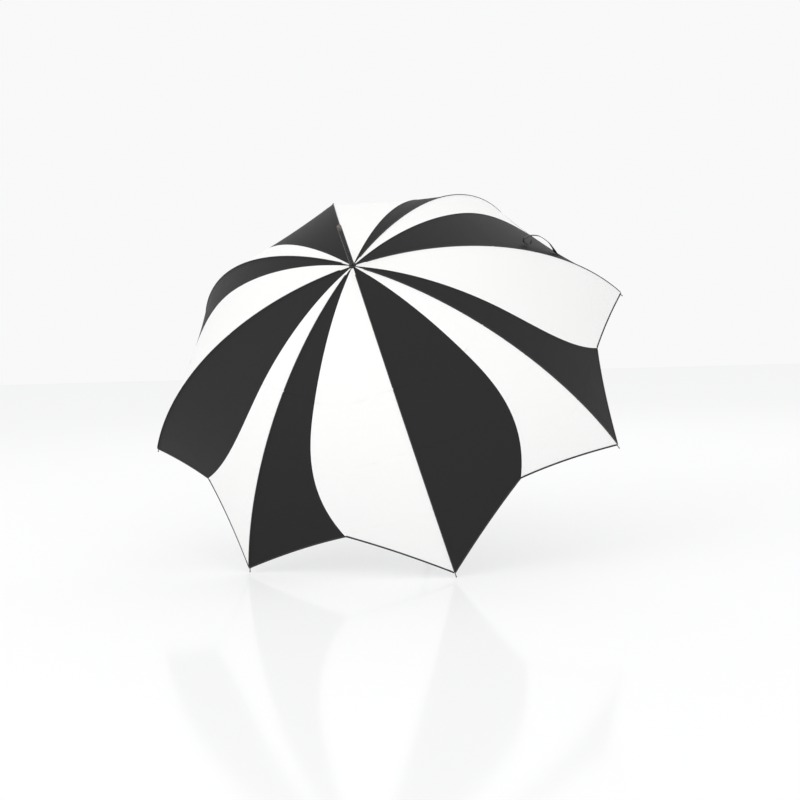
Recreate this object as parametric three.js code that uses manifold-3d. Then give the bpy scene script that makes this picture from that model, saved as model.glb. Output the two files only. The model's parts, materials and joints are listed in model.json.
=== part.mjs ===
// A stick umbrella with a two-colour petal canopy, open and lying on the floor.
// Millimetres, +Z up. The umbrella is built upright in its own frame (shaft on Z, crown pivots
// at Z = 0, ferrule up), then laid down on two rib tips and the end of its handle.
import * as THREE from "three";
import { mergeVertices } from "three/addons/utils/BufferGeometryUtils.js";
import Module from "manifold-3d";

const wasm = await Module();
wasm.setup();

// Canopy frame
const RIB_COUNT = 8;
const RIB_LENGTH = 580;
const RIB_CROWN_SLOPE = 1.1;
const RIB_TIP_SLOPE = 61.4;
const STRETCHER_JOINT = 235;
const STRETCHER_DROP = 5;
const FLEX_JOINT = 252;
const RIB_WIDTH = 3.2;
const RIB_HEIGHT = 2.4;
const RIB_WALL = 0.5;
const ROD_RADIUS = 1.3;
const STRETCHER_WIDTH = 4.4;
const STRETCHER_HEIGHT = 3.4;
const STRETCHER_WALL = 0.6;
const EYE_THICKNESS = 1.2;
const EYE_RADIUS = 1.5;
const TONGUE_REACH = 5.5;
const TONGUE_HELD = 3;
const RIVET_RADIUS = 0.8;
const TIP_PIN_LENGTH = 9;
const TIP_PIN_RADIUS = 0.8;
const TIP_BALL_RADIUS = 1.2;
const TIP_SEAT = 2;
const CLOSED_ANGLE = 3;

// Canopy fabric
const FABRIC_THICKNESS = 0.6;
const FABRIC_GAP = 0.6;
const FABRIC_HOLE_MARGIN = 1.2;
const FABRIC_SAG = 0.03;
const NOTCH_DEPTH = 63;
const WIDE_SHARE = 0.7;
const SEAM_TURN = 0.55;
const NARROW_HEM_CURVE = 5;
const WIDE_HEM_CURVE = 3;

// Shaft, crown, runner, ferrule and handle
const SHAFT_RADIUS = 5;
const SHAFT_WALL = 1;
const UMBRELLA_BELOW_CROWN = 795;
const HANDLE_LENGTH = 135;
const HANDLE_RADIUS = 13;
const HANDLE_FILLET = 3;
const HANDLE_SOCKET = 60;
const HANDLE_BUTT = 30;
const HANDLE_WAIST = 1.5;
const HANDLE_NECK = 5;
const HANDLE_NECK_LENGTH = 14;
const FERRULE_RADIUS = 4;
const FERRULE_LENGTH = 98;
const FERRULE_TIP_LENGTH = 18;
const FERRULE_SEAT = 0.5;
const SPIGOT_RADIUS = 2.4;
const SPIGOT_LENGTH = 14;
const CAP_OVERLAP = 1.2;
const CAP_HEIGHT = 3.4;
const CROWN_WEB = 1;
const CROWN_SKIRT = 12;
const SKIRT_WALL = 0.9;
const SPOOL_RIM = 1;
const SPOOL_FLANGE = 3;
const WIRE_RADIUS = 0.6;
const GROOVE_MARGIN = 0.4;
const RUNNER_WALL = 1.2;
const RUNNER_FLANGE = 2;
const RUNNER_FLANGE_HEIGHT = 3;
const RUNNER_LENGTH = 62;
const CATCH_WIDTH = 2.4;
const CATCH_LENGTH = 34;
const CATCH_TAB = 8;
const CATCH_PROUD = 1.9;
const CATCH_LEAF = 1.8;
const CATCH_TRAVEL = 2.2;

// Tie strap
const STRAP_WIDTH = 16;
const STRAP_THICKNESS = 1;
const STRAP_RIB = 2;
const STRAP_ROOT = 428;
const STRAP_SHARE = 0.12;
const STRAP_CLEARANCE = 1.6;
const STRAP_STEPS = 22;
const STRAP_ROUTE = [[12, 0], [2, 0.5], [-12, 10], [-30, 19], [-52, 24], [-69, 21], [-76, 12], [-70, 4],
  [-61, 5], [-60, 13]];

// Fits
const GAP = 0.3;
const RAD = Math.PI / 180;
const SECTOR = (2 * Math.PI) / RIB_COUNT;

// Radii that follow from the fits. The crown and the runner share one size of pivot wire and spool.
const pivotRadius = SHAFT_RADIUS + SKIRT_WALL + EYE_RADIUS + 2 * GAP;
const spoolRadius = pivotRadius + EYE_RADIUS + SPOOL_RIM;
const tongueLength = spoolRadius - pivotRadius + TONGUE_REACH;
const runnerRadius = SHAFT_RADIUS + CATCH_PROUD + GAP + RUNNER_WALL;
const fabricHoleRadius = FERRULE_RADIUS + FABRIC_HOLE_MARGIN;
const capRadius = fabricHoleRadius + CAP_OVERLAP;
const grooveHalf = WIRE_RADIUS + GROOVE_MARGIN;

const COLOURS = {
  black_fabric: [0x2b2b2b, 0.75, 0],
  white_fabric: [0xf2f1ec, 0.75, 0],
  black_metal: [0x141414, 0.3, 0.8],
  steel: [0x9a9a98, 0.3, 1],
  tip_metal: [0x6d665f, 0.35, 0.9],
  black_plastic: [0x101010, 0.35, 0],
};

const umbrella = new THREE.Group();
const tilted = new THREE.Group();
tilted.add(umbrella);

function addPart(name, geometry, colour, place) {
  const [color, roughness, metalness] = COLOURS[colour];
  const mesh = new THREE.Mesh(geometry, new THREE.MeshStandardMaterial({ color, roughness, metalness }));
  mesh.name = name;
  if (place) {
    place(mesh);
  }
  umbrella.add(mesh);
}

// ---- Solids -------------------------------------------------------------------------------

function merged(geometry) {
  const bare = new THREE.BufferGeometry();
  bare.setAttribute("position", geometry.getAttribute("position"));
  if (geometry.index) {
    bare.setIndex(geometry.index);
  }
  return mergeVertices(bare, 1e-4);
}

function toManifold(geometry) {
  const solid = merged(geometry);
  const vertProperties = new Float32Array(solid.getAttribute("position").array);
  const triVerts = new Uint32Array(solid.index.array);
  return new wasm.Manifold(new wasm.Mesh({ numProp: 3, vertProperties, triVerts }));
}

function fromManifold(manifold) {
  const mesh = manifold.getMesh();
  const geometry = new THREE.BufferGeometry();
  geometry.setAttribute("position", new THREE.BufferAttribute(new Float32Array(mesh.vertProperties), 3));
  geometry.setIndex(Array.from(mesh.triVerts));
  return geometry;
}

// A solid of revolution about Z. The profile holds [radius, height] points.
function turned(profile, segments = 24) {
  const closed = profile[0][0] > 0 ? [...profile, profile[0]] : profile;
  const points = closed.map(([r, z]) => new THREE.Vector2(r, z));
  const lathe = new THREE.LatheGeometry(points, segments);
  lathe.rotateX(Math.PI / 2);
  return merged(lathe);
}

function boxAt(width, depth, height, x, y, z) {
  return new THREE.BoxGeometry(width, depth, height).translate(x, y, z);
}

// A plate of the given outline in the rib plane (x outward, y up), centred on the plane.
function plate(shape, thickness) {
  const options = { depth: thickness, bevelEnabled: false, curveSegments: 5 };
  const geometry = new THREE.ExtrudeGeometry(shape, options);
  geometry.translate(0, 0, -thickness / 2);
  geometry.rotateX(Math.PI / 2);
  return geometry;
}

// Joins solids in order, then cuts the listed solids away.
function joined(solids, cuts = []) {
  let whole = toManifold(solids[0]);
  for (const solid of solids.slice(1)) {
    whole = whole.add(toManifold(solid));
  }
  for (const cut of cuts) {
    whole = whole.subtract(toManifold(cut));
  }
  return fromManifold(whole);
}

// A solid through rings of equal numbers of points, closed at both ends.
function skinned(rings) {
  const count = rings[0].length;
  const positions = rings.flat().flatMap((p) => [p.x, p.y, p.z]);
  const index = [];
  for (let i = 0; i < rings.length - 1; i += 1) {
    for (let j = 0; j < count; j += 1) {
      const a = i * count + j;
      const b = i * count + ((j + 1) % count);
      index.push(a, b, a + count, b, b + count, a + count);
    }
  }
  return { positions, index };
}

// ---- The rib's curve: an arc in the rib plane ------------------------------------------------

const crownSlope = RIB_CROWN_SLOPE * RAD;
const tipSlope = RIB_TIP_SLOPE * RAD;
const arcRadius = RIB_LENGTH / (tipSlope - crownSlope);

function slopeAt(s) {
  return crownSlope + s / arcRadius;
}

// A point at distance s along the rib, lifted off it by the given height: { x: outward, y: up }.
function ribPoint(s, lift = 0) {
  const slope = slopeAt(s);
  return new THREE.Vector2(
    pivotRadius + arcRadius * (Math.sin(slope) - Math.sin(crownSlope)) + lift * Math.sin(slope),
    arcRadius * (Math.cos(slope) - Math.cos(crownSlope)) + lift * Math.cos(slope),
  );
}

// Places a rib-plane mesh (x outward, z up) on rib number k.
function onRib(k) {
  return (mesh) => {
    mesh.rotation.z = k * SECTOR;
  };
}

// A section of [across, height] points carried along the rib from one distance to another.
function alongRib(section, from, to, steps) {
  const rings = Array.from({ length: steps + 1 }, (_, i) => {
    const s = from + ((to - from) * i) / steps;
    return section.map(([across, height]) => {
      const p = ribPoint(s, height);
      return new THREE.Vector3(p.x, across, p.y);
    });
  });
  return closedSkin(rings, section);
}

// Closes a skin with caps triangulated from its section of [across, height] points.
function closedSkin(rings, section) {
  const outline = section.map(([across, height]) => new THREE.Vector2(height, across));
  const { positions, index } = skinned(rings);
  const count = rings[0].length;
  const last = (rings.length - 1) * count;
  const clockwise = THREE.ShapeUtils.isClockWise(outline);
  for (const corners of THREE.ShapeUtils.triangulateShape(outline, [])) {
    const [a, b, c] = clockwise ? corners.toReversed() : corners;
    index.push(a, c, b, last + a, last + b, last + c);
  }
  const geometry = new THREE.BufferGeometry();
  geometry.setAttribute("position", new THREE.Float32BufferAttribute(positions, 3));
  geometry.setIndex(index);
  return faceOut(geometry);
}

// Turns a closed skin's faces outward if its volume comes out negative.
function faceOut(geometry) {
  const p = geometry.getAttribute("position");
  const index = geometry.index.array;
  let volume = 0;
  const [a, b, c] = [new THREE.Vector3(), new THREE.Vector3(), new THREE.Vector3()];
  for (let i = 0; i < index.length; i += 3) {
    a.fromBufferAttribute(p, index[i]);
    b.fromBufferAttribute(p, index[i + 1]);
    c.fromBufferAttribute(p, index[i + 2]);
    volume += a.dot(b.cross(c));
  }
  if (volume < 0) {
    geometry.setIndex(Array.from(index).reverse());
  }
  return geometry;
}

function channelSection(width, height, wall) {
  const [w, h] = [width / 2, height / 2];
  return [[-w, -h], [-w, h], [w, h], [w, -h], [w - wall, -h], [w - wall, h - wall], [-w + wall, h - wall],
    [-w + wall, -h]];
}

function roundSection(radius, sides) {
  return Array.from({ length: sides }, (_, i) => {
    const angle = ((i + 0.5) * 2 * Math.PI) / sides;
    return [radius * Math.cos(angle), radius * Math.sin(angle)];
  });
}

// ---- Ribs ----------------------------------------------------------------------------------

const joint = ribPoint(STRETCHER_JOINT, -STRETCHER_DROP);
const stretcherLength = Math.hypot(joint.x - pivotRadius, joint.y);
const openAngle = Math.atan2(joint.x - pivotRadius, -joint.y);
const runnerHeight = -2 * stretcherLength * Math.cos(openAngle);

// A flat tongue with an eye at the pivot, running outward at a slope.
function tongue(slope) {
  const shape = new THREE.Shape();
  shape.absarc(0, 0, EYE_RADIUS, Math.PI / 2, -Math.PI / 2, false);
  shape.lineTo(tongueLength, -EYE_RADIUS);
  shape.lineTo(tongueLength, EYE_RADIUS);
  shape.closePath();
  const hole = new THREE.Path();
  hole.absarc(0, 0, WIRE_RADIUS + GAP, 0, 2 * Math.PI, true);
  shape.holes.push(hole);
  return plate(shape, EYE_THICKNESS).rotateY(slope);
}

function ribInner() {
  const start = tongueLength - TONGUE_HELD;
  const channel = alongRib(channelSection(RIB_WIDTH, RIB_HEIGHT, RIB_WALL), start, FLEX_JOINT - GAP / 2, 8);
  const eye = tongue(slopeAt(start / 2)).translate(pivotRadius, 0, 0);
  const seat = ribPoint(STRETCHER_JOINT);
  const ear = boxAt(2 * EYE_RADIUS, EYE_THICKNESS, STRETCHER_DROP + EYE_RADIUS + RIB_HEIGHT / 4, 0, 0, 0);
  ear.translate(0, 0, -(STRETCHER_DROP + EYE_RADIUS) / 2 + RIB_HEIGHT / 8);
  ear.rotateY(slopeAt(STRETCHER_JOINT)).translate(seat.x, 0, seat.y);
  const rivet = new THREE.CylinderGeometry(RIVET_RADIUS, RIVET_RADIUS, STRETCHER_WIDTH + 1, 8);
  rivet.translate(joint.x, 0, joint.y);
  return joined([channel, eye, rivetPlug(seat), ear, rivet]);
}

// The solid block inside the channel that carries the ear.
function rivetPlug(seat) {
  const block = boxAt(2 * EYE_RADIUS + 3, RIB_WIDTH - RIB_WALL, RIB_HEIGHT - RIB_WALL, 0, 0, 0);
  return block.rotateY(slopeAt(STRETCHER_JOINT)).translate(seat.x, 0, seat.y);
}

function ribOuter() {
  return alongRib(roundSection(ROD_RADIUS, 6), FLEX_JOINT + GAP / 2, RIB_LENGTH - TIP_SEAT, 9);
}

// The end pin: it starts as thick as the rod, narrows, and ends in a small ball.
function ribTip() {
  const ball = RIB_LENGTH + TIP_PIN_LENGTH - TIP_BALL_RADIUS;
  const start = RIB_LENGTH - TIP_SEAT + GAP;
  const length = ball - start;
  const profile = [[0, 0], [ROD_RADIUS, 0], [ROD_RADIUS, length * 0.2], [TIP_PIN_RADIUS, length * 0.4],
    [TIP_PIN_RADIUS, length - TIP_BALL_RADIUS * Math.cos(Math.asin(TIP_PIN_RADIUS / TIP_BALL_RADIUS))]];
  for (const angle of [-10, 45]) {
    profile.push([TIP_BALL_RADIUS * Math.cos(angle * RAD), length + TIP_BALL_RADIUS * Math.sin(angle * RAD)]);
  }
  profile.push([0, length + TIP_BALL_RADIUS]);
  const end = ribPoint(RIB_LENGTH);
  const tangent = new THREE.Vector2(Math.cos(tipSlope), -Math.sin(tipSlope));
  const base = end.clone().addScaledVector(tangent, start - RIB_LENGTH);
  return turned(profile, 8).rotateY(Math.PI / 2 + tipSlope).translate(base.x, 0, base.y);
}

function tipBall() {
  const end = ribPoint(RIB_LENGTH);
  const reach = TIP_PIN_LENGTH - TIP_BALL_RADIUS;
  return new THREE.Vector2(end.x + reach * Math.cos(tipSlope), end.y - reach * Math.sin(tipSlope));
}

// ---- Stretchers ------------------------------------------------------------------------------

// Built along +X from the runner pivot at the origin to the rib rivet, then turned up to its slope.
function stretcher() {
  const from = tongueLength - TONGUE_HELD;
  const to = stretcherLength + EYE_RADIUS + 0.5;
  const section = channelSection(STRETCHER_WIDTH, STRETCHER_HEIGHT, STRETCHER_WALL);
  const ringAt = (x) => section.map(([across, height]) => new THREE.Vector3(x, -across, -height));
  const rings = [ringAt(from), ringAt(to)];
  const channel = closedSkin(rings, section);
  const cutHeight = STRETCHER_WALL * 2 + 1;
  const web = boxAt(8, STRETCHER_WIDTH + 1, cutHeight, stretcherLength, 0, -STRETCHER_HEIGHT / 2);
  const hole = new THREE.CylinderGeometry(RIVET_RADIUS + GAP, RIVET_RADIUS + GAP, STRETCHER_WIDTH + 2, 10);
  hole.translate(stretcherLength, 0, 0);
  return joined([channel, tongueBlock(), tongue(0)], [web, hole]);
}

// Fills the channel's root so that the tongue is held on both sides.
function tongueBlock() {
  const height = STRETCHER_HEIGHT - STRETCHER_WALL;
  return boxAt(TONGUE_HELD, STRETCHER_WIDTH - STRETCHER_WALL, height, tongueLength - TONGUE_HELD / 2, 0, 0);
}

function addRibSets() {
  for (let k = 0; k < RIB_COUNT; k += 1) {
    addPart(`rib_inner_${k + 1}`, ribInner(), "black_metal", onRib(k));
    addPart(`rib_outer_${k + 1}`, ribOuter(), "black_metal", onRib(k));
    addPart(`rib_tip_${k + 1}`, ribTip(), "steel", onRib(k));
    const arm = stretcher().rotateY(openAngle - Math.PI / 2).translate(pivotRadius, 0, runnerHeight);
    addPart(`stretcher_${k + 1}`, arm, "black_metal", onRib(k));
  }
}

// ---- Canopy ------------------------------------------------------------------------------------

const fabricLift = RIB_HEIGHT / 2 + FABRIC_THICKNESS / 2 + GAP + (RIB_WIDTH / 2) * Math.tan(SECTOR / 2);
const fabricStart = fabricHoleRadius - pivotRadius;

// A point of the cloth's middle surface between rib k and the next: s along the rib, v across (0 to 1).
function clothPoint(k, s, v, lift = 0) {
  const p = ribPoint(s, fabricLift + lift);
  const [a, b] = [k * SECTOR, (k + 1) * SECTOR];
  const left = new THREE.Vector3(p.x * Math.cos(a), p.x * Math.sin(a), p.y);
  const right = new THREE.Vector3(p.x * Math.cos(b), p.x * Math.sin(b), p.y);
  const middle = (a + b) / 2;
  const slope = slopeAt(s);
  const normal = new THREE.Vector3(
    Math.sin(slope) * Math.cos(middle), Math.sin(slope) * Math.sin(middle), Math.cos(slope));
  const sag = FABRIC_SAG * left.distanceTo(right) * Math.sin(slope) * 4 * v * (1 - v);
  return left.lerp(right, v).addScaledVector(normal, -sag);
}

// The curved seam between the two petals of a panel: its share of the width from the wide petal's rib.
// It keeps the wide share over most of the length, then curves to the middle at the hem notch.
function seamShare(along) {
  const turn = Math.max(0, (along - SEAM_TURN) / (1 - SEAM_TURN));
  return WIDE_SHARE - (WIDE_SHARE - 0.5) * turn ** 2.5;
}

// One petal from the rib (side 0) to the seam (side 1), with a gap to its neighbours on both sides.
function petal(k, firstRib, wide) {
  const steps = 13;
  const across = wide ? 4 : 3;
  const rows = [];
  for (let i = 0; i <= steps; i += 1) {
    const t = i / steps;
    const seamS = fabricStart + (RIB_LENGTH - NOTCH_DEPTH - fabricStart) * t;
    const ribS = fabricStart + (RIB_LENGTH - fabricStart) * t;
    const share = wide ? seamShare(t) : 1 - seamShare(t);
    const row = [];
    for (let j = 0; j <= across; j += 1) {
      const w = j / across;
      const curve = (wide ? WIDE_HEM_CURVE : NARROW_HEM_CURVE) * 4 * w * (1 - w) * t ** 6;
      const s = ribS + (seamS - ribS) * w - curve;
      const width = 2 * ribPoint(s, fabricLift).x * Math.sin(SECTOR / 2);
      const inset = (FABRIC_GAP / width) * (1 - 2 * w);
      const v = share * w + inset / 2;
      row.push([s, firstRib ? v : 1 - v]);
    }
    rows.push(row);
  }
  return clothSolid(k, rows);
}

// Thickens a grid of [s, v] cloth positions into a thin closed solid.
function clothSolid(k, rows) {
  const half = FABRIC_THICKNESS / 2;
  const rings = rows.map((row) => {
    const outer = row.map(([s, v]) => clothPoint(k, s, v, half));
    const inner = row.map(([s, v]) => clothPoint(k, s, v, -half)).reverse();
    return [...outer, ...inner];
  });
  const { positions, index } = skinned(rings);
  const count = rings[0].length;
  for (let j = 0; j < count / 2 - 1; j += 1) {
    for (const base of [0, (rings.length - 1) * count]) {
      const [a, b, c, d] = [base + j, base + j + 1, base + count - 2 - j, base + count - 1 - j];
      index.push(...(base === 0 ? [a, c, b, a, d, c] : [a, b, c, a, c, d]));
    }
  }
  const geometry = new THREE.BufferGeometry();
  geometry.setAttribute("position", new THREE.Float32BufferAttribute(positions, 3));
  geometry.setIndex(index);
  return faceOut(geometry);
}

// Petals alternate dark and light. A rib with an even number from zero carries the wide pair.
function addPetals() {
  for (let k = 0; k < RIB_COUNT; k += 1) {
    const wideFirst = k % 2 === 0;
    const next = ((k + 1) % RIB_COUNT) + 1;
    addPart(`black_petal_${k + 1}`, petal(k, true, wideFirst), "black_fabric");
    addPart(`white_petal_${next}`, petal(k, false, !wideFirst), "white_fabric");
  }
}

// The strap is sewn down at its root, arches off the cloth towards the crown and ends in a curl.
// Its route lies in one plane: distance from the root (negative towards the crown) and height.
function tieStrap() {
  const route = new THREE.CatmullRomCurve3(
    STRAP_ROUTE.map(([along, height]) => new THREE.Vector3(along, height, 0)), false, "catmullrom", 0.5);
  const middle = (STRAP_RIB + 0.5) * SECTOR;
  const sideways = new THREE.Vector3(-Math.sin(middle), Math.cos(middle), 0);
  const base = FABRIC_THICKNESS / 2 + STRAP_CLEARANCE;
  const rings = Array.from({ length: STRAP_STEPS + 1 }, (_, i) => {
    const centre = route.getPointAt(i / STRAP_STEPS);
    const heading = route.getTangentAt(i / STRAP_STEPS);
    const corner = (thick, side) => {
      const along = centre.x - heading.y * thick;
      const height = centre.y + heading.x * thick;
      return clothPoint(STRAP_RIB, STRAP_ROOT + along, STRAP_SHARE, base + height)
        .addScaledVector(sideways, side);
    };
    const [half, edge] = [STRAP_THICKNESS / 2, STRAP_WIDTH / 2];
    return [corner(-half, -edge), corner(-half, edge), corner(half, edge), corner(half, -edge)];
  });
  addPart("tie_strap", closedSkin(rings, [[0, 0], [1, 0], [1, 1], [0, 1]]), "black_fabric");
}

// ---- Crown, runner, shaft, ferrule and handle ---------------------------------------------------

const spoolTop = fabricLift - FABRIC_THICKNESS / 2 - GAP;
const grooveRadius = pivotRadius - WIRE_RADIUS - GAP;
const slotWidth = EYE_THICKNESS + 2 * GAP;
const slotRadius = pivotRadius - EYE_RADIUS - GAP;

// Radial slots, one for each rib, from the slot radius outward between two heights.
function ribSlots(low, high) {
  return Array.from({ length: RIB_COUNT }, (_, k) => {
    const depth = spoolRadius + 2 - slotRadius;
    const slot = boxAt(depth, slotWidth, high - low, slotRadius + depth / 2, 0, (low + high) / 2);
    return slot.rotateZ(k * SECTOR);
  });
}

function addCrown() {
  const bore = SHAFT_RADIUS + GAP;
  const seat = FERRULE_RADIUS + GAP;
  const web = -FERRULE_SEAT - CROWN_WEB;
  const under = -SPOOL_FLANGE - grooveHalf;
  const spool = turned([
    [0, web], [bore, web], [bore, -CROWN_SKIRT], [slotRadius, -CROWN_SKIRT], [slotRadius, under],
    [spoolRadius, under], [spoolRadius, -grooveHalf], [grooveRadius, -grooveHalf], [grooveRadius, grooveHalf],
    [spoolRadius, grooveHalf], [spoolRadius, spoolTop], [seat, spoolTop], [seat, -FERRULE_SEAT],
    [0, -FERRULE_SEAT],
  ]);
  addPart("crown_notch", joined([spool], ribSlots(-CROWN_SKIRT - 1, spoolTop + 1)), "black_plastic");
  addPart("crown_wire", pivotWire(), "steel");
  const capBase = fabricLift + FABRIC_THICKNESS / 2 + GAP;
  const cap = turned([
    [seat, capBase], [capRadius, capBase], [capRadius, capBase + CAP_HEIGHT * 0.5],
    [capRadius - 0.6, capBase + CAP_HEIGHT * 0.85], [capRadius - 1.4, capBase + CAP_HEIGHT],
    [seat, capBase + CAP_HEIGHT],
  ]);
  addPart("canopy_cap", cap, "black_plastic");
}

function pivotWire() {
  return new THREE.TorusGeometry(pivotRadius, WIRE_RADIUS, 6, 32);
}

// The tip is a sleeve with a closed, domed end over the rod's spigot.
function addFerrule() {
  const base = GAP - FERRULE_SEAT;
  const top = base + FERRULE_LENGTH;
  const shoulder = top - FERRULE_TIP_LENGTH;
  const spigotEnd = shoulder + SPIGOT_LENGTH;
  const rod = turned([[0, base], [FERRULE_RADIUS, base], [FERRULE_RADIUS, shoulder - GAP],
    [SPIGOT_RADIUS, shoulder - GAP], [SPIGOT_RADIUS, spigotEnd], [0, spigotEnd]], 16);
  addPart("ferrule_rod", rod, "black_metal");
  const bore = SPIGOT_RADIUS + GAP;
  const boreEnd = spigotEnd + 1;
  const tip = turned([
    [0, boreEnd], [bore, boreEnd], [bore, shoulder], [FERRULE_RADIUS, shoulder], [FERRULE_RADIUS, top - 2],
    [FERRULE_RADIUS * 0.85, top - 0.6], [FERRULE_RADIUS * 0.5, top], [0, top],
  ], 16);
  addPart("ferrule_tip", tip, "tip_metal");
}

function addRunner() {
  const bore = SHAFT_RADIUS + GAP;
  const bottom = -RUNNER_LENGTH - grooveHalf;
  const flange = runnerRadius + RUNNER_FLANGE;
  const under = -SPOOL_FLANGE - grooveHalf;
  const spool = turned([
    [bore, bottom], [flange, bottom], [flange, bottom + RUNNER_FLANGE_HEIGHT],
    [runnerRadius, bottom + RUNNER_FLANGE_HEIGHT + 2 * RUNNER_FLANGE],
    [runnerRadius, under - RUNNER_FLANGE], [spoolRadius, under],
    [spoolRadius, -grooveHalf], [grooveRadius, -grooveHalf], [grooveRadius, grooveHalf],
    [spoolRadius, grooveHalf], [spoolRadius, runnerTop], [bore, runnerTop],
  ]);
  const keyReach = SHAFT_RADIUS + CATCH_PROUD + GAP;
  const key = boxAt(keyReach, CATCH_WIDTH + 2 * GAP, 3 * RUNNER_LENGTH, keyReach / 2, 0, 0);
  key.rotateZ(catchAngle);
  const atRunner = (mesh) => {
    mesh.position.z = runnerHeight;
  };
  const cuts = [...ribSlots(-grooveHalf - 2, runnerTop + 1), key];
  addPart("runner", joined([spool], cuts), "black_plastic", atRunner);
  addPart("runner_wire", pivotWire(), "steel", atRunner);
}

// Catches sit between two ribs, on the side away from the floor.
const catchAngle = 3.5 * SECTOR;
const closedRunner = -2 * stretcherLength * Math.cos(CLOSED_ANGLE * RAD);
const runnerTop = grooveHalf + 1;
const upperTab = runnerHeight - RUNNER_LENGTH - grooveHalf - GAP;
const lowerTab = closedRunner + runnerTop + GAP + CATCH_TAB;

// The catch's leaf lies inside the tube, and its tab stands proud through a slot.
// Its flat end faces the runner that it holds; up is 1 when that end is the upper one.
function latch(tabTop, up) {
  const inner = SHAFT_RADIUS - SHAFT_WALL - GAP - CATCH_TRAVEL;
  const root = inner + 0.5;
  const outer = SHAFT_RADIUS + CATCH_PROUD;
  const [flat, sloped] = up > 0 ? [0, -CATCH_TAB] : [-CATCH_TAB, 0];
  const tab = new THREE.Shape();
  tab.moveTo(root, flat);
  tab.lineTo(outer, flat);
  tab.lineTo(outer, flat + (sloped - flat) * 0.25);
  tab.lineTo(root, sloped);
  tab.closePath();
  const leafMiddle = inner + CATCH_LEAF / 2;
  const leaf = boxAt(CATCH_LEAF, CATCH_WIDTH - 0.4, CATCH_LENGTH, leafMiddle, 0, 2 - CATCH_LENGTH / 2);
  return joined([leaf, plate(tab, CATCH_WIDTH)]).rotateZ(catchAngle).translate(0, 0, tabTop);
}

function catchSlot(tabTop) {
  const height = CATCH_TAB + 2 * GAP;
  const slot = boxAt(SHAFT_RADIUS + 1, CATCH_WIDTH + 2 * GAP, height, (SHAFT_RADIUS + 1) / 2, 0, 0);
  return slot.rotateZ(catchAngle).translate(0, 0, tabTop - CATCH_TAB / 2);
}

function addShaft() {
  const top = -FERRULE_SEAT - CROWN_WEB - GAP;
  const bottom = -UMBRELLA_BELOW_CROWN + HANDLE_LENGTH - HANDLE_SOCKET;
  const bore = SHAFT_RADIUS - SHAFT_WALL;
  const tube = turned([[bore, bottom], [SHAFT_RADIUS, bottom], [SHAFT_RADIUS, top], [bore, top]]);
  addPart("shaft_tube", joined([tube], [catchSlot(upperTab), catchSlot(lowerTab)]), "steel");
  addPart("upper_catch", latch(upperTab, 1), "steel");
  addPart("lower_catch", latch(lowerTab, -1), "steel");
}

function addHandle() {
  const end = -UMBRELLA_BELOW_CROWN;
  const top = end + HANDLE_LENGTH;
  const bore = SHAFT_RADIUS + GAP;
  const profile = [[0, end]];
  for (const angle of [-90, -67.5, -45, -22.5, 0]) {
    profile.push([HANDLE_RADIUS - HANDLE_FILLET + HANDLE_FILLET * Math.cos(angle * RAD),
      end + HANDLE_FILLET + HANDLE_FILLET * Math.sin(angle * RAD)]);
  }
  const floor = top - HANDLE_SOCKET - GAP;
  profile.push(
    [HANDLE_RADIUS, end + HANDLE_BUTT], [HANDLE_RADIUS - HANDLE_WAIST, end + HANDLE_LENGTH / 2],
    [HANDLE_RADIUS - HANDLE_NECK * 0.4, top - HANDLE_NECK_LENGTH],
    [HANDLE_RADIUS - HANDLE_NECK * 0.8, top - 3], [HANDLE_RADIUS - HANDLE_NECK, top],
    [bore, top], [bore, floor], [0, floor]);
  addPart("handle", turned(profile, 32), "black_plastic");
}

// ---- Laid down -------------------------------------------------------------------------------------

// The shaft's angle to the floor when two neighbouring tips and the handle's rounded end touch it.
function restingTilt() {
  const ball = tipBall();
  const across = ball.x * Math.cos(SECTOR / 2) - HANDLE_RADIUS + HANDLE_FILLET;
  const along = UMBRELLA_BELOW_CROWN - HANDLE_FILLET + ball.y;
  const rounding = TIP_BALL_RADIUS - HANDLE_FILLET;
  return Math.atan2(across, along) + Math.asin(rounding / Math.hypot(across, along));
}

// The two tips on the floor are those of the first and the last rib: they go down and the ferrule to -Y.
function layDown() {
  umbrella.rotation.z = SECTOR / 2 - Math.PI / 2;
  tilted.rotation.x = Math.PI / 2 - restingTilt();
}

addShaft();
addCrown();
addFerrule();
addRunner();
addHandle();
addRibSets();
addPetals();
tieStrap();
layDown();

const part = new THREE.Group();
part.add(tilted);
part.updateMatrixWorld(true);
const box = new THREE.Box3().setFromObject(part, true);
tilted.position.set(-(box.min.x + box.max.x) / 2, -(box.min.y + box.max.y) / 2, -box.min.z);

export default part;
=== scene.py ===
"""Looks for a two-colour stick umbrella that lies open on a white studio floor.

Metres, in the CAD row frame. The umbrella's own frame has its origin at the crown, Z along the shaft
towards the ferrule, and rib 1 along X. Every point of the cloth is (distance along a rib, share of the
way across a gore), which the functions below turn into places.
"""

import json
import math

import bpy
import numpy as np
from mathutils import Matrix, Vector


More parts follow.
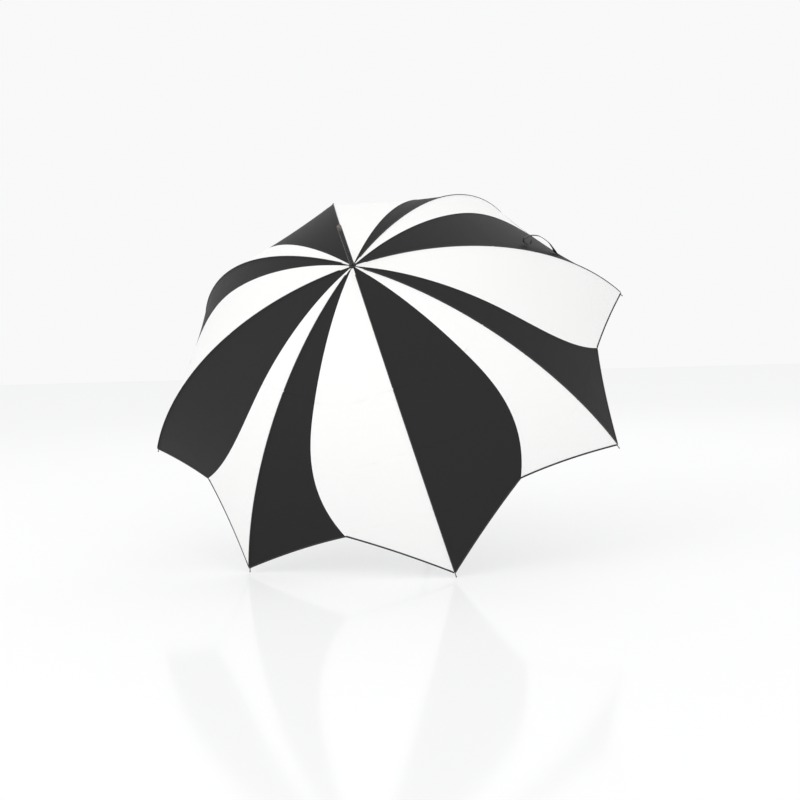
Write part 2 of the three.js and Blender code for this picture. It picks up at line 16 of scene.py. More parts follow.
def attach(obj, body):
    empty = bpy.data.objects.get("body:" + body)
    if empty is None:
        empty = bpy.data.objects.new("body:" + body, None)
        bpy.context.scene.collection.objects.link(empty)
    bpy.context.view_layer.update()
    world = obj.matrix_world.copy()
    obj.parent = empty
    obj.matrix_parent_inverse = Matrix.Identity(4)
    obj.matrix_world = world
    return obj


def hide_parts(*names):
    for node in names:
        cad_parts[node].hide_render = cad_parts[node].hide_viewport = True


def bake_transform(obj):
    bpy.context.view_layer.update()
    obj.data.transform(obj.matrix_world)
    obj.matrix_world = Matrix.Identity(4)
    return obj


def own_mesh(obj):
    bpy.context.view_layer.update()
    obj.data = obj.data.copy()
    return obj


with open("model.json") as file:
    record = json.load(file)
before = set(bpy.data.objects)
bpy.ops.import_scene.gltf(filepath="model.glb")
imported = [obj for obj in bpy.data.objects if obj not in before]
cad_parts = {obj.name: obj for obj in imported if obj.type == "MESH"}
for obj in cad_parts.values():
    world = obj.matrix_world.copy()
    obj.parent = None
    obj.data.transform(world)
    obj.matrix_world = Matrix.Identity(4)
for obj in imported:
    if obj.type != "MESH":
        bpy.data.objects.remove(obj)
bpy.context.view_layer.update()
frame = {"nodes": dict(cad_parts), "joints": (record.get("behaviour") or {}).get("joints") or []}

# ---- The frame's own dimensions, as in the part's source ------------------------------------

RIBS = 8
SECTOR = 2 * math.pi / RIBS
RIB_LENGTH = 0.580
CROWN_SLOPE = math.radians(1.1)
TIP_SLOPE = math.radians(61.4)
ARC_RADIUS = RIB_LENGTH / (TIP_SLOPE - CROWN_SLOPE)
PIVOT_RADIUS = 0.008
FLEX_JOINT = 0.252
CLOTH_LIFT = 0.00246
SAG = 0.03
HOLE_RADIUS = 0.0052
NOTCH_DEPTH = 0.063
WIDE_SHARE = 0.7
SEAM_TURN = 0.55
SEAM_POWER = 2.5
WIDE_HEM_CURVE = 0.003
NARROW_HEM_CURVE = 0.005
FIT = 0.0003
FERRULE_RADIUS = 0.004
FERRULE_LENGTH = 0.0978
FERRULE_SEAT = 0.0002
SPIGOT_RADIUS = 0.0024
CAP_RADIUS = 0.0064
CAP_HEIGHT = 0.0034
TIP_PIN_LENGTH = 0.009
SHAFT_RADIUS = 0.005
HANDLE_RADIUS = 0.013
HANDLE_LENGTH = 0.135
BELOW_CROWN = 0.795
STRAP_ROOT = 0.428
STRAP_SHARE = 0.12
STRAP_WIDTH = 0.016
STRAP_GORE = 2

CLOTH_START = HOLE_RADIUS - PIVOT_RADIUS
SEAM_END = RIB_LENGTH - NOTCH_DEPTH

# ---- Details that only the looks have -------------------------------------------------------

# Cloth: the grid's cell, the crown piece's reach, and the flat piece as cut beside its outline
CELL = 0.006
HUB_END = 0.012
CUT_MARGIN = 1.01
SMALLEST_SHEET = 0.01
GRID_PASSES = 12

# The outer cloth in zones along the rib, each starting tucked under the zone before it
OUTER_CUTS = (FLEX_JOINT, 0.36, 0.47)
TUCK = 0.03
TUCK_DEPTH = 0.0006
TUCK_RAMP = 0.002

# The cloth beside a seam: a ridge on the line, a valley next to it, both fading in from the crown
RIDGE = 0.0005
RIDGE_WIDTH = 0.0018
VALLEY = 0.00035
VALLEY_PLACE = 0.006
VALLEY_WIDTH = 0.004
SEAM_FADE = 0.05

WEAVE_SCALE = 900

# Bindings
SWEEP_STEPS = 40
HEM_WIDTH = 0.0032
HEM_THICKNESS = 0.0011
HEM_INSET = 0.0012
HEM_INWARD = 0.006
HEM_FIRST_SHARE = 0.002
PIPING_WIDTH = 0.0022
PIPING_THICKNESS = 0.0014
PIPING_LIFT = 0.4 * PIPING_THICKNESS
PIPING_CLEARANCE = 0.004
PIPING_GAP = 0.001

# Tie strap: its route is in millimetres from the root, (along the rib, off the cloth). Where it stands
# its width lies along STRAP_LIE, a direction in the umbrella's frame.
STRAP_THICKNESS = 0.0009
STRAP_BASE = 0.0019
STRAP_SEWN = 0.06
STRAP_TURNING = 0.25
STRAP_TURN = 0.8
STRAP_LIE = (-0.718, 0.171, -0.675)
STRAP_STEPS = 8
STRAP_ROUTE = [[2, 0], [-8, 0.5], [-24, 9], [-44, 18], [-68, 24], [-87, 21], [-95, 12], [-89, 4],
               [-79, 5], [-78, 13]]

# Ferrule
FERRULE_END_SHOWN = 0.0085
FERRULE_CHAMFER = 0.0004
FERRULE_NOSE = 0.002
RING_START = 0.004
RING_END = 0.0056
CAP_SEAT = 0.0006
CAP_CHAMFER = 0.0002
CAP_ROUND = 0.0016

# Handle: a rounded butt, a slight waist, three grooves and a neck. A taper is what its radius loses.
BUTT_ROUND = 0.003
BUTT_HEIGHT = 0.030
SHOULDER_HEIGHT = 0.050
SHOULDER_TAPER = 0.0008
WAIST_TAPER = 0.0015
GROOVES = 3
GROOVE_START = 0.034
GROOVE_PITCH = 0.0035
GROOVE_HALF = 0.0008
GROOVE_TAPER = 0.0018
GROOVE_DEPTH = 0.0006
NECK_HEIGHT = 0.014
NECK_TAPER = 0.002
NECK_ROUND = 0.0015
NECK_INSET = 0.0062
SOCKET_DEPTH = 0.004

# Rib tips and the thread loops that tie the cloth to the ribs
PIN_RADIUS = 0.0008
PIN_COLLAR_RADIUS = 0.0013
PIN_COLLAR_DEPTH = 0.0017
PIN_COLLAR_TOP = 0.0006
PIN_TAPER_TOP = 0.0024
PIN_BALL_RADIUS = 0.0012
PIN_BALL_NECK = 0.0009
TIE_PLACES = (0.16, 0.34, 0.46)
TIE_RADIUS = 0.0021
TIE_THREAD = 0.00045
TIE_LIFT = 0.0004

WELD_DISTANCE = 1e-6

# Studio
FLOOR_SIZE = 40.0
LAMP_AIM = (0, -0.1, 0.35)
CAMERA_PLACE = (0.5409, -1.9759, 0.3698)
CAMERA_AZIMUTH = math.radians(14.951)
CAMERA_TILT = math.radians(87.624)
CAMERA_ROLL = math.radians(-1.804)
CAMERA_LENS = 46.016

joints = {joint["name"]: joint for joint in frame["joints"]}
pivots = [Vector(joints["canopy_fold"]["pos_m"])]
pivots += [Vector(joints[f"rib_{n}_fold"]["pos_m"]) for n in range(2, RIBS + 1)]
crown = sum(pivots, Vector()) / RIBS
rib_direction = (pivots[0] - crown).normalized()
shaft_direction = rib_direction.cross(pivots[RIBS // 4] - crown).normalized()
side_direction = shaft_direction.cross(rib_direction)
UMBRELLA = Matrix((rib_direction, side_direction, shaft_direction)).transposed().to_4x4()
UMBRELLA.translation = crown
TO_ROW = np.array(UMBRELLA)


def to_row(points):
    """Places in the umbrella's frame, given in the row frame."""
    return np.asarray(points, float) @ TO_ROW[:3, :3].T + TO_ROW[:3, 3]


# ---- The cloth's shape ----------------------------------------------------------------------


def direction_to_row(direction):
    return TO_ROW[:3, :3] @ np.asarray(direction)


def unit(vectors):
    """Each row at a length of 1."""
    return vectors / np.linalg.norm(vectors, axis=1)[:, None]


def rib_point(s, lift):
    """Radius and height of the rib's arc at a distance s from its pivot, lifted square to the arc."""
    slope = CROWN_SLOPE + np.asarray(s) / ARC_RADIUS
    radius = PIVOT_RADIUS + ARC_RADIUS * (np.sin(slope) - math.sin(CROWN_SLOPE)) + lift * np.sin(slope)
    height = ARC_RADIUS * (np.cos(slope) - math.cos(CROWN_SLOPE)) + lift * np.cos(slope)
    return radius, height


def cloth_point(gore, s, v, lift=0.0):
    """Places in the umbrella's frame between rib gore and the next, v from 0 to 1 across."""
    radius, height = rib_point(s, CLOTH_LIFT + lift)
    first, last = gore * SECTOR, (gore + 1) * SECTOR
    middle = (first + last) / 2
    slope = CROWN_SLOPE + np.asarray(s) / ARC_RADIUS
    chord = 2 * radius * math.sin(SECTOR / 2)
    sag = SAG * chord * np.sin(slope) * 4 * v * (1 - v)
    x = radius * ((1 - v) * math.cos(first) + v * math.cos(last)) - sag * np.sin(slope) * math.cos(middle)
    y = radius * ((1 - v) * math.sin(first) + v * math.sin(last)) - sag * np.sin(slope) * math.sin(middle)
    return np.stack([x, y, height - sag * np.cos(slope)], axis=-1)


def seam_share(s):
    """The curved seam's share of the gore's width from the wide petal's rib."""
    along = (s - CLOTH_START) / (SEAM_END - CLOTH_START)
    turn = np.maximum(0, (along - SEAM_TURN) / (1 - SEAM_TURN))
    return WIDE_SHARE - (WIDE_SHARE - 0.5) * np.minimum(turn, 1) ** SEAM_POWER


def hem_at(v, curve):
    """Distance of the hem along the rib, for v from 0 (rib) to 0.5 (notch)."""
    w = v / 0.5
    return RIB_LENGTH - NOTCH_DEPTH * w - curve * 4 * w * (1 - w)


def cut_at(v, s):
    """The line across a half gore that is square to its rib where s meets the rib."""
    radius, _ = rib_point(s, CLOTH_LIFT)
    slope = CROWN_SLOPE + s / ARC_RADIUS
    back = radius * (1 - math.cos(SECTOR)) * math.cos(slope)
    return s + back * v


# ---- Materials ------------------------------------------------------------------------------


def new_material(name):
    material = bpy.data.materials.new(name)
    material.use_nodes = True
    nodes = material.node_tree.nodes
    return material, nodes, material.node_tree.links, nodes["Principled BSDF"]


def add_node(nodes, kind, **inputs):
    node = nodes.new(kind)
    for name, value in inputs.items():
        node.inputs[name.replace("_", " ")].default_value = value
    return node


def cloth_material(name, colour, roughness, gloss, sheen, thread_depth):
    """Fine plain weave: two crossed sets of threads in UV metres, with a slow unevenness, and painted shade
    in the dips between the threads.
    """
    material, nodes, links, shader = new_material(name)
    uv = nodes.new("ShaderNodeUVMap")
    uv.uv_map = "cloth"
    weave_height = None
    for direction in ("X", "Y"):
        wave = nodes.new("ShaderNodeTexWave")
        wave.bands_direction = direction
        wave.inputs["Scale"].default_value = WEAVE_SCALE
        wave.inputs["Distortion"].default_value = 1.2
        wave.inputs["Detail"].default_value = 1
        wave.inputs["Detail Scale"].default_value = 0.4
        links.new(uv.outputs["UV"], wave.inputs["Vector"])
        if weave_height is None:
            weave_height = wave.outputs["Fac"]
            continue
        crossed = nodes.new("ShaderNodeMath")
        crossed.operation = "MULTIPLY"
        links.new(weave_height, crossed.inputs[0])
        links.new(wave.outputs["Fac"], crossed.inputs[1])
        weave_height = crossed.outputs[0]
    slow = add_node(nodes, "ShaderNodeTexNoise", Scale=9.0, Detail=3.0)
    slow.inputs["Roughness"].default_value = 0.55
    links.new(uv.outputs["UV"], slow.inputs["Vector"])
    weave_bump = add_node(nodes, "ShaderNodeBump", Strength=0.5, Distance=thread_depth)
    links.new(weave_height, weave_bump.inputs["Height"])
    slow_bump = add_node(nodes, "ShaderNodeBump", Strength=0.6, Distance=0.0012)
    links.new(slow.outputs["Fac"], slow_bump.inputs["Height"])
    links.new(weave_bump.outputs["Normal"], slow_bump.inputs["Normal"])
    links.new(slow_bump.outputs["Normal"], shader.inputs["Normal"])
    # Painted shade and painted highlight: the colour is darker in the dips between the threads and lighter
    # on their raised crossings, following the weave's height.
    weave_shade_tone = nodes.new("ShaderNodeMix")
    weave_shade_tone.data_type = "RGBA"
    weave_shade_tone.inputs["A"].default_value = [c * 0.86 for c in colour] + [1]
    weave_shade_tone.inputs["B"].default_value = [min(1, c * 1.1) for c in colour] + [1]
    links.new(weave_height, weave_shade_tone.inputs["Factor"])
    links.new(weave_shade_tone.outputs["Result"], shader.inputs["Base Color"])
    shader.inputs["Roughness"].default_value = roughness
    shader.inputs["Specular IOR Level"].default_value = gloss
    shader.inputs["Sheen Weight"].default_value = sheen
    shader.inputs["Sheen Roughness"].default_value = 0.45
    return material


def hard_material(name, colour, roughness, metallic=0.0, scratch=0.0, coat=0.0):
    """Metal or plastic whose roughness varies a little with handling."""
    material, nodes, links, shader = new_material(name)
    shader.inputs["Base Color"].default_value = [*colour, 1]
    shader.inputs["Metallic"].default_value = metallic
    shader.inputs["Coat Weight"].default_value = coat
    shader.inputs["Coat Roughness"].default_value = 0.12
    where = nodes.new("ShaderNodeTexCoord")
    noise = add_node(nodes, "ShaderNodeTexNoise", Scale=140.0, Detail=4.0)
    links.new(where.outputs["Object"], noise.inputs["Vector"])
    spread = nodes.new("ShaderNodeMapRange")
    spread.inputs["To Min"].default_value = roughness * (1 - scratch)
    spread.inputs["To Max"].default_value = min(1, roughness * (1 + scratch))
    links.new(noise.outputs["Fac"], spread.inputs["Value"])
    links.new(spread.outputs["Result"], shader.inputs["Roughness"])
    return material


BLACK_CLOTH = cloth_material("black cloth", (0.0165, 0.0165, 0.017), 0.62, 0.16, 0.01, 0.00012)
WHITE_CLOTH = cloth_material("white cloth", (0.89, 0.89, 0.88), 0.7, 0.3, 0.03, 0.00008)
BLACK_TAPE = hard_material("hem binding", (0.014, 0.014, 0.015), 0.6, scratch=0.2)
BLACK_METAL = hard_material("black enamel", (0.012, 0.012, 0.013), 0.28, 0.0, 0.4, 0.5)
STEEL = hard_material("plated steel", (0.46, 0.46, 0.47), 0.3, 1.0, 0.4)
PIN_STEEL = hard_material("dark plated pin", (0.10, 0.10, 0.105), 0.35, 1.0, 0.3)
TIP_METAL = hard_material("ferrule end", (0.17, 0.145, 0.13), 0.36, 1.0, 0.4)
PLASTIC = hard_material("black plastic", (0.012, 0.012, 0.013), 0.32, 0.0, 0.35)
THREAD = hard_material("thread", (0.02, 0.02, 0.021), 0.8)

# ---- Meshes ---------------------------------------------------------------------------------


def mesh_object(name, points, faces, material):
    """points are in the row frame."""
    mesh = bpy.data.meshes.new(name)
    mesh.from_pydata([tuple(p) for p in points], [], [tuple(f) for f in faces])
    mesh.materials.append(material)
    mesh.validate()
    mesh.update()
    mesh.shade_smooth()
    item = bpy.data.objects.new(name, mesh)
    bpy.context.scene.collection.objects.link(item)
    return item


def grid_faces(rows, columns):
    index = np.arange(rows * columns).reshape(rows, columns)
    corners = [index[:-1, :-1], index[1:, :-1], index[1:, 1:], index[:-1, 1:]]
    return np.stack(corners, axis=-1).reshape(-1, 4)


def flat_uv(item, along, across):
    """UV in metres: one pair for each vertex of the grid."""
    layer = item.data.uv_layers.new(name="cloth")
    vertex = np.zeros(len(item.data.loops), int)
    item.data.loops.foreach_get("vertex_index", vertex)
    pairs = np.stack([along.ravel()[vertex], across.ravel()[vertex]], axis=-1)
    layer.data.foreach_set("uv", pairs.ravel())


def crease(distance):
    """Height of the cloth beside a seam: a low ridge on the line and a shallow valley next to it."""
    ridge = RIDGE * np.exp(-((distance / RIDGE_WIDTH) ** 2))
    return ridge - VALLEY * np.exp(-(((distance - VALLEY_PLACE) / VALLEY_WIDTH) ** 2))


def half_gore_grid(rib, side, low, high, start, end, under=None):
    """A grid over part of the half gore beside a rib. side is 1 towards the next rib, -1 towards
    the last.

    low and high give the share of the gore's width at s; start and end give s at a share. Cloth before
    the line under lies beneath its neighbour.
    """
    gore = rib if side > 0 else rib - 1
    middle = (start(0.25) + end(0.25)) / 2
    width = 2 * rib_point(middle, 0)[0] * math.sin(SECTOR / 2)
    rows = max(3, round((end(0.0) - start(0.0)) / CELL) + 1)
    columns = max(4, round(width * (high(middle) - low(middle)) / CELL) + 1)
    along = np.linspace(0, 1, rows)[:, None]
    across = np.linspace(0, 1, columns)[None, :]
    s = start(0.25) + (end(0.25) - start(0.25)) * along + 0 * across
    for _ in range(GRID_PASSES):
        v = low(s) + (high(s) - low(s)) * across
        s = start(v) + (end(v) - start(v)) * along
    v = low(s) + (high(s) - low(s)) * across
    chord = 2 * rib_point(s, 0)[0] * math.sin(SECTOR / 2)
    seam = seam_share(s) if is_wide(rib) else 1 - seam_share(s)
    near = np.minimum(v, np.abs(v - seam)) * chord
    raised = crease(near) * np.clip((s - HUB_END) / SEAM_FADE, 0, 1)
    if under is not None:
        raised = raised - TUCK_DEPTH * np.clip((under(v) - s) / TUCK_RAMP, 0, 1)
    points = cloth_point(gore, s, v if side > 0 else 1 - v, raised)
    return to_row(points), s, v * chord


def is_wide(rib):
    """Ribs 1, 3, 5 and 7 carry the wide petals on both sides."""
    return rib % 2 == 0


# ---- Canopy ---------------------------------------------------------------------------------


def no_share(s):
    return 0 * s


def half_share(s):
    return 0 * s + 0.5


def narrow_share(s):
    return 1 - seam_share(s)


def hole_edge(v):
    return 0 * v + CLOTH_START


def notch_edge(v):
    return 0 * v + SEAM_END


def cut(s):
    """A zone's edge, square to its rib at s."""
    return lambda v: cut_at(v, s)


def tucked(s):
    """Starts a little before the cut towards the notch, so that the cloth still laps there when folded."""
    return lambda v: cut_at(v, s) - TUCK * v


def hem(rib):
    """The cloth's outer edge beside a rib."""
    curve = WIDE_HEM_CURVE if is_wide(rib) else NARROW_HEM_CURVE
    return lambda v: hem_at(v, curve)


def pleat(item, body):
    """Puts the piece on its rib's body, with a mesh of its own.
    """
    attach(item, body)
    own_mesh(item)


def cloth_piece(name, rib, side, black, low, high, start, end, under=None):
    """A piece of one colour and the (width, length) that it is cut from."""
    points, along, across = half_gore_grid(rib, side, low, high, start, end, under)
    rows, columns = along.shape
    faces = grid_faces(rows, columns)
    facing_out = faces if side > 0 else faces[:, ::-1]
    item = mesh_object(name, points.reshape(-1, 3), facing_out, BLACK_CLOTH if black else WHITE_CLOTH)
    flat_uv(item, along, across)
    width = float(np.ptp(across, axis=1).max())
    length = float(np.ptp(along, axis=0).max())
    return item, (max(SMALLEST_SHEET, width * CUT_MARGIN), max(SMALLEST_SHEET, length * CUT_MARGIN))


def half_gores():
    """Every region of one colour: rib, side, whether it is black, its shares of the gore, its far edge
    and whether it is the rib's own or the next one's.
    """
    for rib in range(RIBS):
        for side in (1, -1):
            own_black = side > 0
            if is_wide(rib):
                yield rib, side, own_black, no_share, half_share, hem(rib), "own"
                continue
            yield rib, side, own_black, no_share, narrow_share, hem(rib), "own"
            yield rib, side, not own_black, narrow_share, half_share, notch_edge, "next"


def build_canopy():
    for rib, side, black, low, high, far, region in half_gores():
        n = rib + 1
        hand = "a" if side > 0 else "b"
        colour = "black" if black else "white"
        label = f"{n}{hand}" if region == "own" else f"{n}{hand}_to_seam"
        hub, _ = cloth_piece(f"{colour}_crown_{label}", rib, side, black, low, high, hole_edge, cut(HUB_END))
        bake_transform(hub)
        inner, flat = cloth_piece(f"{colour}_inner_{label}", rib, side, black, low, high, cut(HUB_END),
                                  cut(FLEX_JOINT))
        pleat(inner, f"rib_{n}")
        edges = [cut(s) for s in OUTER_CUTS] + [far]
        for i, cut_place in enumerate(OUTER_CUTS):
            outer, flat = cloth_piece(f"{colour}_outer_{label}_{i + 1}", rib, side, black, low, high,
                                      tucked(cut_place), edges[i + 1], under=edges[i])
            pleat(outer, f"rib_end_{n}")
            if i == 0:
                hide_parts(f"{colour}_petal_{petal_number(rib, side, region)}")


def petal_number(rib, side, region):
    """A petal has the number of its rib. A region past the seam belongs to the neighbour's petal."""
    return rib + 1 if region == "own" else (rib + side) % RIBS + 1


def section_sweep(name, centres, normals, sideways, outline, material):
    """Sweeps an outline of (side, up) offsets along centres. Both ends are closed."""
    rings = [c + side * w + up * n for c, n, w in zip(centres, normals, sideways) for side, up in outline]
    count = len(outline)
    faces = []
    for i in range(len(centres) - 1):
        for j in range(count):
            k = (j + 1) % count
            faces.append((i * count + j, i * count + k, (i + 1) * count + k, (i + 1) * count + j))
    faces.append(tuple(range(count))[::-1])
    faces.append(tuple(range(len(rings) - count, len(rings))))
    return mesh_object(name, rings, faces, material)


def rounded_outline(width, height, corners=3):
    """A flat oval: straight top and bottom with round ends."""
    radius = height / 2
    points = []
    for centre, first in ((width / 2 - radius, -90), (radius - width / 2, 90)):
        for i in range(corners + 1):
            angle = math.radians(first + 180 * i / corners)
            points.append((centre + radius * math.cos(angle), radius * math.sin(angle)))
    return points


def build_hems():
    for rib in range(RIBS):
        for side in (1, -1):
            gore = rib if side > 0 else rib - 1
            v = np.linspace(HEM_FIRST_SHARE, 0.5, SWEEP_STEPS)
            across = v if side > 0 else 1 - v
            edge = hem(rib)(v)
            centres = to_row(cloth_point(gore, edge - HEM_INSET, across))
            inward = unit(to_row(cloth_point(gore, edge - HEM_INWARD, across)) - centres)
            run = unit(np.gradient(centres, axis=0))
            normals = unit(np.cross(inward, run))
            sides = np.cross(run, normals)
            item = section_sweep(f"hem_{rib + 1}{'a' if side > 0 else 'b'}", centres, normals, sides,
                                 rounded_outline(HEM_WIDTH, HEM_THICKNESS), BLACK_TAPE)
            pleat(item, f"rib_end_{rib + 1}")


def build_piping():
    """The bound seam along each rib, in two lengths that meet at the flex joint."""
    lengths = (("inner", "rib", HUB_END + PIPING_CLEARANCE, FLEX_JOINT - PIPING_GAP),
               ("outer", "rib_end", FLEX_JOINT + PIPING_GAP, RIB_LENGTH - PIPING_CLEARANCE))
    for rib in range(RIBS):
        angle = rib * SECTOR
        across = direction_to_row([-math.sin(angle), math.cos(angle), 0])
        for label, body, first, last in lengths:
            s = np.linspace(first, last, SWEEP_STEPS)
            centres = to_row(cloth_point(rib, s, 0 * s, PIPING_LIFT))
            normals = unit(np.cross(unit(np.gradient(centres, axis=0)), across))
            sides = np.repeat(across[None, :], len(centres), axis=0)
            item = section_sweep(f"piping_{label}_{rib + 1}", centres, normals, sides,
                                 rounded_outline(PIPING_WIDTH, PIPING_THICKNESS), BLACK_TAPE)
            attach(item, f"{body}_{rib + 1}")


# ---- Tie strap ------------------------------------------------------------------------------


def smooth_route(points, steps):
    """A Catmull-Rom curve through the points, with its end tangents along the end legs."""
    p = np.array(points, float)
    p = np.vstack([2 * p[0] - p[1], p, 2 * p[-1] - p[-2]])
    found = []
    for i in range(1, len(p) - 2):
        for t in np.linspace(0, 1, steps, endpoint=False):
            a, b, c, d = p[i - 1:i + 3]
            found.append(0.5 * (2 * b + (c - a) * t + (2 * a - 5 * b + 4 * c - d) * t**2
                                + (3 * b - a - 3 * c + d) * t**3))
    return np.array(found + [p[-2]])


def build_strap():
    """Flat on the cloth where it is sewn, then standing in an arch with its width turned along STRAP_LIE."""
    route = smooth_route(STRAP_ROUTE, STRAP_STEPS) / 1000
    along_rib, off_cloth = STRAP_ROOT + route[:, 0], STRAP_BASE + route[:, 1]
    centres = to_row(cloth_point(STRAP_GORE, along_rib, STRAP_SHARE, off_cloth))
    middle = (STRAP_GORE + 0.5) * SECTOR
    sewn_side = direction_to_row([-math.sin(middle), math.cos(middle), 0])
    run = unit(np.gradient(centres, axis=0))
    lie = direction_to_row(STRAP_LIE)
    turned_sides = unit(lie - (run @ lie)[:, None] * run)
    ramp = np.clip((np.linspace(0, 1, len(centres)) - STRAP_SEWN) / STRAP_TURNING, 0, 1)
    turning = (STRAP_TURN * (3 * ramp**2 - 2 * ramp**3))[:, None]
    sides = unit(sewn_side * (1 - turning) + turned_sides * turning)
    normals = unit(np.cross(run, sides))
    outline = rounded_outline(STRAP_WIDTH, STRAP_THICKNESS)
    strap = section_sweep("strap", centres, normals, sides, outline, BLACK_TAPE)
    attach(strap, "rib_end_3")
    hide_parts("tie_strap")


# ---- Turned pieces --------------------------------------------------------------------------


def sharpen(item, angle):
    """Smooth shading that stays sharp at edges steeper than the angle."""
    weld = item.modifiers.new("weld", "WELD")
    weld.merge_threshold = WELD_DISTANCE
    split = item.modifiers.new("edges", "EDGE_SPLIT")
    split.split_angle = angle


def turned(name, profile, material, body, replaced, place=None, segments=48):
    """A solid of revolution about Z from (radius, height) points, placed in the umbrella's frame."""
    rings, faces = [], []
    count = len(profile)
    for radius, height in profile:
        for i in range(segments):
            angle = 2 * math.pi * i / segments
            rings.append((radius * math.cos(angle), radius * math.sin(angle), height))
    for i in range(count - 1):
        for j in range(segments):
            k = (j + 1) % segments
            ring, above = i * segments, (i + 1) * segments
            faces.append((ring + j, ring + k, above + k, above + j))
    matrix = UMBRELLA @ (place or Matrix.Identity(4))
    points = [matrix @ Vector(p) for p in rings]
    item = mesh_object(name, points, faces, material)
    sharpen(item, math.radians(32))
    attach(item, body)
    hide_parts(*replaced)
    return item


def arc(centre, radius, first, last, steps):
    """Profile points round an arc, angles in degrees from +radius towards +height."""
    angles = [math.radians(first + (last - first) * i / steps) for i in range(steps + 1)]
    return [(centre[0] + radius * math.cos(a), centre[1] + radius * math.sin(a)) for a in angles]


def build_ferrule():
    r = FERRULE_RADIUS
    base = -FERRULE_SEAT
    top = base + FERRULE_LENGTH
    shoulder = top - FERRULE_END_SHOWN
    waist = r - FERRULE_CHAMFER
    rod = [(0, base), (r, base), (r, shoulder - 2 * FERRULE_CHAMFER), (waist, shoulder - FIT),
           (SPIGOT_RADIUS, shoulder - FIT), (SPIGOT_RADIUS, shoulder)]
    turned("ferrule_rod_fine", rod, BLACK_METAL, "shaft", ["ferrule_rod"])
    ring_start, ring_end = shoulder + RING_START, shoulder + RING_END
    sleeve = [(0, shoulder), (r - FIT, shoulder), (r, shoulder + FIT), (r, ring_start)]
    sleeve += [(waist, ring_start + FERRULE_CHAMFER), (waist, ring_end - FERRULE_CHAMFER), (r, ring_end)]
    sleeve += arc((r - FERRULE_NOSE, top - FERRULE_NOSE), FERRULE_NOSE, 0, 75, 6) + [(0, top)]
    turned("ferrule_end", sleeve, TIP_METAL, "shaft", ["ferrule_tip"])


def build_cap():
    bore = FERRULE_RADIUS + FIT
    base = CLOTH_LIFT + CAP_SEAT
    top = base + CAP_HEIGHT
    cap = [(bore, base), (CAP_RADIUS - CAP_CHAMFER, base), (CAP_RADIUS, base + FIT)]
    cap += [(CAP_RADIUS, base + CAP_HEIGHT / 2)]
    cap += arc((CAP_RADIUS - CAP_ROUND, top - CAP_ROUND), CAP_ROUND, 0, 90, 6) + [(bore, top), (bore, base)]
    turned("crown_cap", cap, PLASTIC, "shaft", ["canopy_cap"])


def build_handle():
    end = -BELOW_CROWN
    top = end + HANDLE_LENGTH
    r = HANDLE_RADIUS
    profile = [(0, end)] + arc((r - BUTT_ROUND, end + BUTT_ROUND), BUTT_ROUND, -90, 0, 6)
    profile += [(r, end + BUTT_HEIGHT), (r - SHOULDER_TAPER, end + SHOULDER_HEIGHT)]
    profile += [(r - WAIST_TAPER, end + HANDLE_LENGTH / 2)]
    for groove in range(GROOVES):
        z = top - GROOVE_START + groove * GROOVE_PITCH
        lip = r - GROOVE_TAPER
        profile += [(lip, z - GROOVE_HALF), (lip - GROOVE_DEPTH, z), (lip, z + GROOVE_HALF)]
    profile += [(r - NECK_TAPER, top - NECK_HEIGHT), (r - 2 * NECK_TAPER, top - 2 * NECK_ROUND)]
    profile += arc((r - NECK_INSET, top - NECK_ROUND), NECK_ROUND, 20, 90, 4)
    profile += [(SHAFT_RADIUS + FIT, top), (SHAFT_RADIUS + FIT, top - SOCKET_DEPTH)]
    turned("handle_grip", profile, PLASTIC, "shaft", ["handle"], segments=64)


def at_rib(rib, s, lift):
    """The matrix that lays local Z along a rib's arc at s, in the umbrella's frame."""
    radius, height = rib_point(s, lift)
    slope = CROWN_SLOPE + s / ARC_RADIUS
    return (
        Matrix.Rotation(rib * SECTOR, 4, "Z")
        @ Matrix.Translation((float(radius), 0, float(height)))
        @ Matrix.Rotation(math.pi / 2 + slope, 4, "Y")
    )


def build_tips():
    collar = PIN_COLLAR_RADIUS
    ball = TIP_PIN_LENGTH - PIN_BALL_RADIUS
    pin = [(0, -PIN_COLLAR_DEPTH), (collar, -PIN_COLLAR_DEPTH), (collar, PIN_COLLAR_TOP)]
    pin += [(PIN_RADIUS, PIN_TAPER_TOP), (PIN_RADIUS, ball - PIN_BALL_NECK)]
    pin += arc((0, ball), PIN_BALL_RADIUS, -40, 90, 8)
    for rib in range(RIBS):
        turned(f"tip_pin_{rib + 1}", pin, PIN_STEEL, f"rib_end_{rib + 1}", [f"rib_tip_{rib + 1}"],
               at_rib(rib, RIB_LENGTH, 0), segments=20)


def build_ties():
    """Thread loops that hold the cloth to each rib, inside the canopy."""
    for rib in range(RIBS):
        for i, s in enumerate(TIE_PLACES):
            bpy.ops.mesh.primitive_torus_add(major_segments=20, minor_segments=6, major_radius=TIE_RADIUS,
                                             minor_radius=TIE_THREAD)
            tie = bpy.context.object
            tie.name = f"thread_tie_{rib + 1}_{i + 1}"
            tie.data.transform(UMBRELLA @ at_rib(rib, s, TIE_LIFT))
            tie.data.materials.append(THREAD)
            tie.data.shade_smooth()
            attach(tie, f"rib_{rib + 1}" if s < FLEX_JOINT else f"rib_end_{rib + 1}")


def dress_frame():
    """Materials and smooth shading for the CAD pieces that show as they are."""
    kinds = (("rib_inner", BLACK_METAL), ("rib_outer", BLACK_METAL), ("stretcher", BLACK_METAL),
             ("shaft_tube", STEEL), ("crown_wire", STEEL), ("runner_wire", STEEL), ("upper_catch", STEEL),
             ("lower_catch", STEEL), ("crown_notch", PLASTIC), ("runner", PLASTIC))
    for name, node in frame["nodes"].items():
        material = next((m for kind, m in kinds if name.startswith(kind)), None)
        if material is None or node.hide_render:
            continue
        node.data.materials.clear()
        node.data.materials.append(material)
        node.data.shade_smooth()
        sharpen(node, math.radians(30))


# ---- Studio ---------------------------------------------------------------------------------

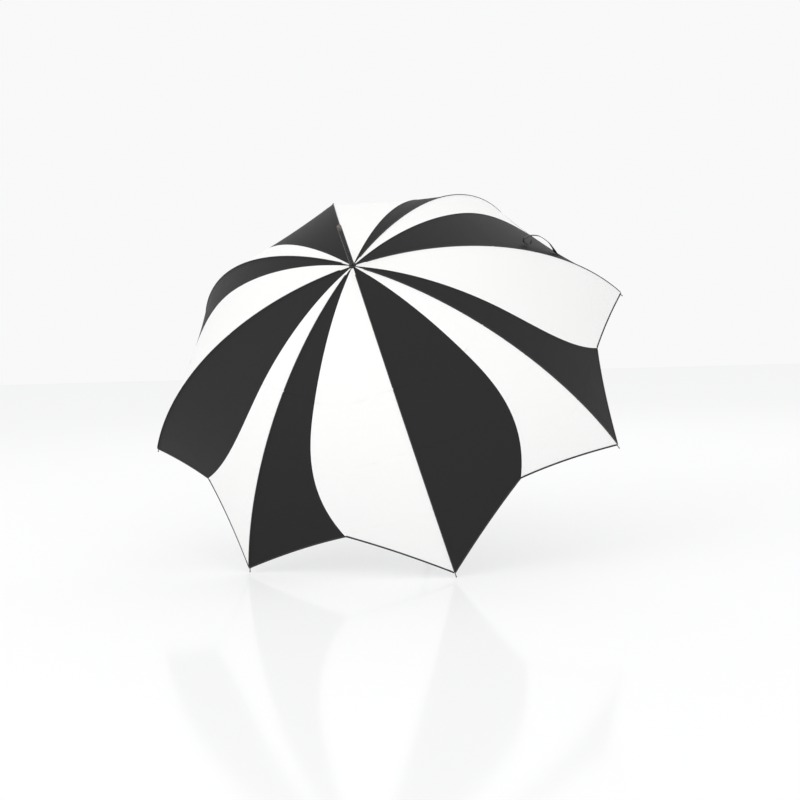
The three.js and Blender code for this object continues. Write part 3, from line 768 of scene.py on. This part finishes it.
def floor_material():
    """White and slightly shiny, and partly lit from within so that the shadows stay light."""
    material, nodes, links, _ = new_material("studio floor")
    matt = add_node(nodes, "ShaderNodeBsdfDiffuse", Color=(0.35, 0.35, 0.35, 1))
    gloss = add_node(nodes, "ShaderNodeBsdfGlossy", Color=(1, 1, 1, 1), Roughness=0.11)
    mixed = add_node(nodes, "ShaderNodeMixShader", Fac=0.075)
    lit = add_node(nodes, "ShaderNodeEmission", Color=(0.985, 0.99, 1, 1), Strength=0.545)
    both = add_node(nodes, "ShaderNodeAddShader")
    links.new(matt.outputs[0], mixed.inputs[1])
    links.new(gloss.outputs[0], mixed.inputs[2])
    links.new(mixed.outputs[0], both.inputs[0])
    links.new(lit.outputs[0], both.inputs[1])
    links.new(both.outputs[0], nodes["Material Output"].inputs["Surface"])
    return material


def build_studio():
    half = FLOOR_SIZE / 2
    corners = [(-half, -half, 0), (half, -half, 0), (half, half, 0), (-half, half, 0)]
    floor = mesh_object("floor", corners, [(0, 1, 2, 3)], floor_material())
    world = bpy.data.worlds.new("studio")
    bpy.context.scene.world = world
    world.use_nodes = True
    background = world.node_tree.nodes["Background"]
    background.inputs["Color"].default_value = (0.945, 0.945, 0.948, 1)
    background.inputs["Strength"].default_value = 1.0
    area_light("key", (-1.8, -2.6, 2.0), 2.4, 27)
    area_light("fill", (2.0, -2.6, 0.9), 2.4, 18)
    area_light("back", (0, 2.2, 3.4), 2.4, 25).visible_glossy = False
    bpy.context.scene.view_settings.view_transform = "Standard"


def area_light(name, place, size, power):
    data = bpy.data.lights.new(name, "AREA")
    data.shape = "SQUARE"
    data.size = size
    data.energy = power
    lamp = bpy.data.objects.new(name, data)
    lamp.location = place
    lamp.rotation_euler = (Vector(LAMP_AIM) - Vector(place)).to_track_quat("-Z", "Y").to_euler()
    bpy.context.scene.collection.objects.link(lamp)
    return lamp


def build_camera():
    data = bpy.data.cameras.new("camera")
    data.sensor_width = 36
    data.lens = CAMERA_LENS
    data.clip_end = 200
    camera = bpy.data.objects.new("camera", data)
    turn = Matrix.Rotation(CAMERA_AZIMUTH, 4, "Z") @ Matrix.Rotation(CAMERA_TILT, 4, "X")
    camera.matrix_world = Matrix.Translation(CAMERA_PLACE) @ turn @ Matrix.Rotation(CAMERA_ROLL, 4, "Z")
    bpy.context.scene.collection.objects.link(camera)
    bpy.context.scene.camera = camera


build_canopy()
build_hems()
build_piping()
build_strap()
build_ferrule()
build_cap()
build_handle()
build_tips()
build_ties()
dress_frame()
build_studio()
build_camera()
